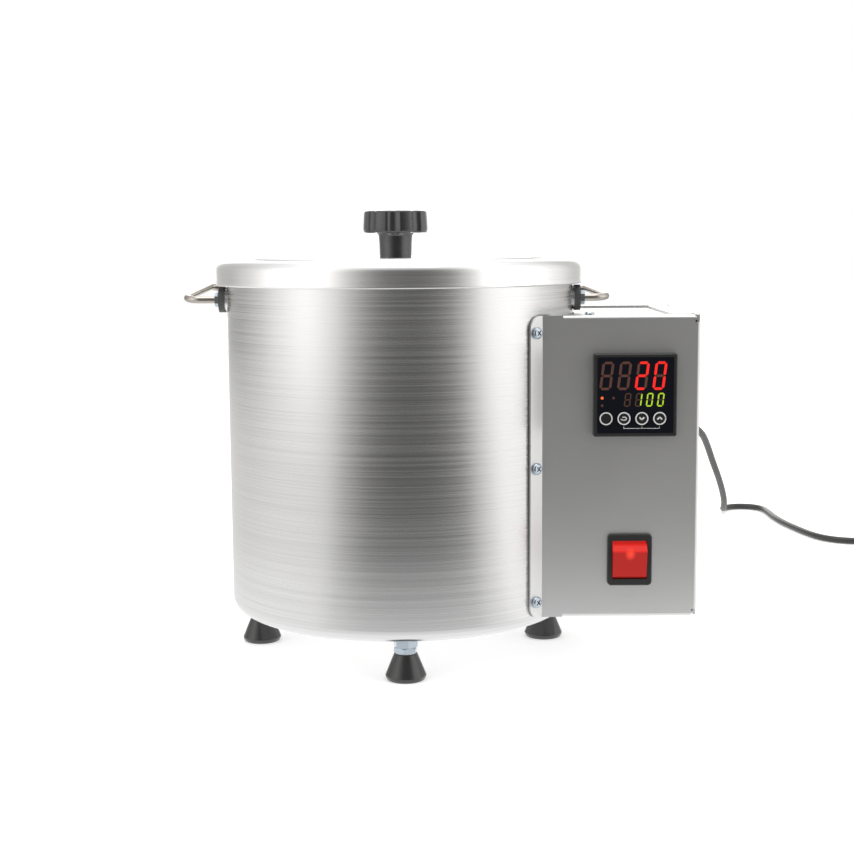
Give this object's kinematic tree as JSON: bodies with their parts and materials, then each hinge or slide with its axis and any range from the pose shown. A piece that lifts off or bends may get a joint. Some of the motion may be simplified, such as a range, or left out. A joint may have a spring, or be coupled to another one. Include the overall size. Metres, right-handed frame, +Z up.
{
  "type": "wax warmer pot",
  "caption": "Electrically heated wax pot: jacketed aluminium well, lift-off lid with star knob, screwed feet, side control box with temperature controller and lit rocker switch, mains cord.",
  "frame": {"origin": "middle of the footprint box, on the plane the feet rest on; the pot axis is 20.1 mm to the -X side", "axes": "+Z up, +X from the pot towards the control box, -Y the side with the controller and switch"},
  "size_m": [0.5791, 0.5609, 0.2718],
  "materials": {
    "turned_aluminium": "turned, fine horizontal lines",
    "lid_aluminium": "spun, satin with bright reflections",
    "drawn_aluminium": "deep drawn, satin",
    "box_sheet": "satin sheet",
    "stainless_steel": "polished rod",
    "zinc_steel": "zinc plated",
    "black_rubber": "matt moulded",
    "cord_rubber": "satin sheath",
    "gloss_black": "high gloss phenolic",
    "matt_black": "fine spark texture",
    "smoked_window": "smooth glossy film",
    "key_black": "film key with a pale ring",
    "red_rocker": "translucent red, lit",
    "glass_wool": "fibre blanket",
    "mica_band": "steel-clad mica band",
    "ceramic": "ceramic body",
    "lead_insulation": "silicone insulation",
    "circuit_board": "laminate",
    "brass_plated": "bright plated",
    "white_plastic": "moulded"
  },
  "bodies": {
    "pot": {"band_heater": "mica_band", "base_insulation": "glass_wool", "box_cover_screws": "zinc_steel", "box_flange_screws": "zinc_steel", "box_wiring": "lead_insulation", "control_box_bottom": "box_sheet", "control_box_top": "box_sheet", "control_box_wrap": "box_sheet", "controller_bezel": "matt_black", "controller_case": "matt_black", "controller_clamp": "matt_black", "controller_terminals": "matt_black", "controller_window": "smoked_window", "cord_coil": "cord_rubber", "display_module": "matt_black", "earth_screw": "brass_plated", "foot_front": "black_rubber", "foot_left": "black_rubber", "foot_nuts": "zinc_steel", "foot_rear": "black_rubber", "foot_right": "black_rubber", "foot_studs": "zinc_steel", "foot_washers": "zinc_steel", "gland_body": "matt_black", "gland_locknut": "matt_black", "gland_nut": "matt_black", "handle_nuts": "zinc_steel", "handle_pads": "black_rubber", "handle_rod_left": "stainless_steel", "handle_rod_right": "stainless_steel", "handle_saddles": "drawn_aluminium", "heater_clamp_screws": "zinc_steel", "inner_pot": "drawn_aluminium", "key_board": "circuit_board", "outer_shell": "turned_aluminium", "plug_body": "cord_rubber", "plug_pins": "brass_plated", "pot_leads": "lead_insulation", "power_cord": "cord_rubber", "relay": "matt_black", "relay_bracket": "box_sheet", "sensor_clip": "stainless_steel", "sensor_probe": "stainless_steel", "shell_grommet": "black_rubber", "strain_relief": "cord_rubber", "switch_frame": "matt_black", "switch_terminals": "brass_plated", "terminal_block": "white_plastic", "thermal_cutout": "ceramic", "wall_insulation": "glass_wool"},
    "lid": {"lid": "lid_aluminium", "lid_knob": "gloss_black", "lid_knob_washer": "zinc_steel", "lid_knob_screw": "zinc_steel"},
    "switch_rocker": {"switch_rocker": "red_rocker"},
    "key_1": {"key_1": "key_black"},
    "key_2": {"key_2": "key_black"},
    "key_3": {"key_3": "key_black"},
    "key_4": {"key_4": "key_black"}
  },
  "joints": [
    {"name": "lid_lift", "type": "slide", "parent": "pot", "child": "lid", "axis": [0, 0, 1], "range_m": [0, 0.14]},
    {"name": "switch_rock", "type": "hinge", "parent": "pot", "child": "switch_rocker", "pos_m": [0.1151, -0.0655, 0.0658], "axis": [1, 0, 0], "range_deg": [-22, 0]},
    {"name": "key_1_press", "type": "slide", "parent": "pot", "child": "key_1", "axis": [0, 1, 0], "range_m": [0, 0.0005], "stiffness_N_per_m": 900},
    {"name": "key_2_press", "type": "slide", "parent": "pot", "child": "key_2", "axis": [0, 1, 0], "range_m": [0, 0.0005], "stiffness_N_per_m": 900},
    {"name": "key_3_press", "type": "slide", "parent": "pot", "child": "key_3", "axis": [0, 1, 0], "range_m": [0, 0.0005], "stiffness_N_per_m": 900},
    {"name": "key_4_press", "type": "slide", "parent": "pot", "child": "key_4", "axis": [0, 1, 0], "range_m": [0, 0.0005], "stiffness_N_per_m": 900}
  ]
}
